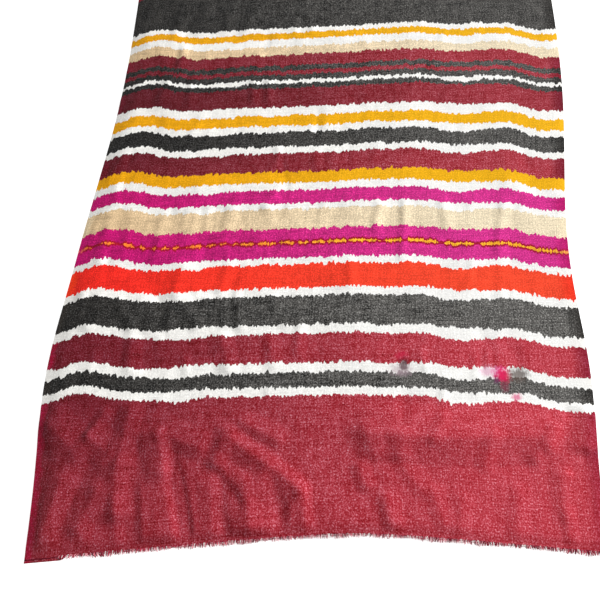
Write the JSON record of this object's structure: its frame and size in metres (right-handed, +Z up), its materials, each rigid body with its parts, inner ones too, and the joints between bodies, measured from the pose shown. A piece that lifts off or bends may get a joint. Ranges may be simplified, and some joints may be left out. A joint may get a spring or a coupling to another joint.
{
  "type": "striped shawl laid flat",
  "caption": "Long woven shawl laid flat: one thin panel with soft folds, slightly curved hems and a short frayed fringe at each end.",
  "frame": {"origin": "under the middle of the laid-out shawl, on the surface that it lies on", "axes": "+Y along the length towards the far end, +X across the width to the right as seen from the near end, +Z up"},
  "size_m": [0.5938, 1.8578, 0.007],
  "materials": {
    "striped_cloth": "matt, softly brushed plain weave in wavy crosswise stripes of burgundy, charcoal, white, ochre, tan, magenta and orange-red",
    "near_threads": "matt frayed threads, burgundy and crimson with some dark and pale ones",
    "far_threads": "matt frayed threads, burgundy and crimson with some dark and pale ones"
  },
  "bodies": {
    "root": {"shawl_panel": "striped_cloth", "near_fringe": "near_threads", "far_fringe": "far_threads"}
  },
  "joints": []
}
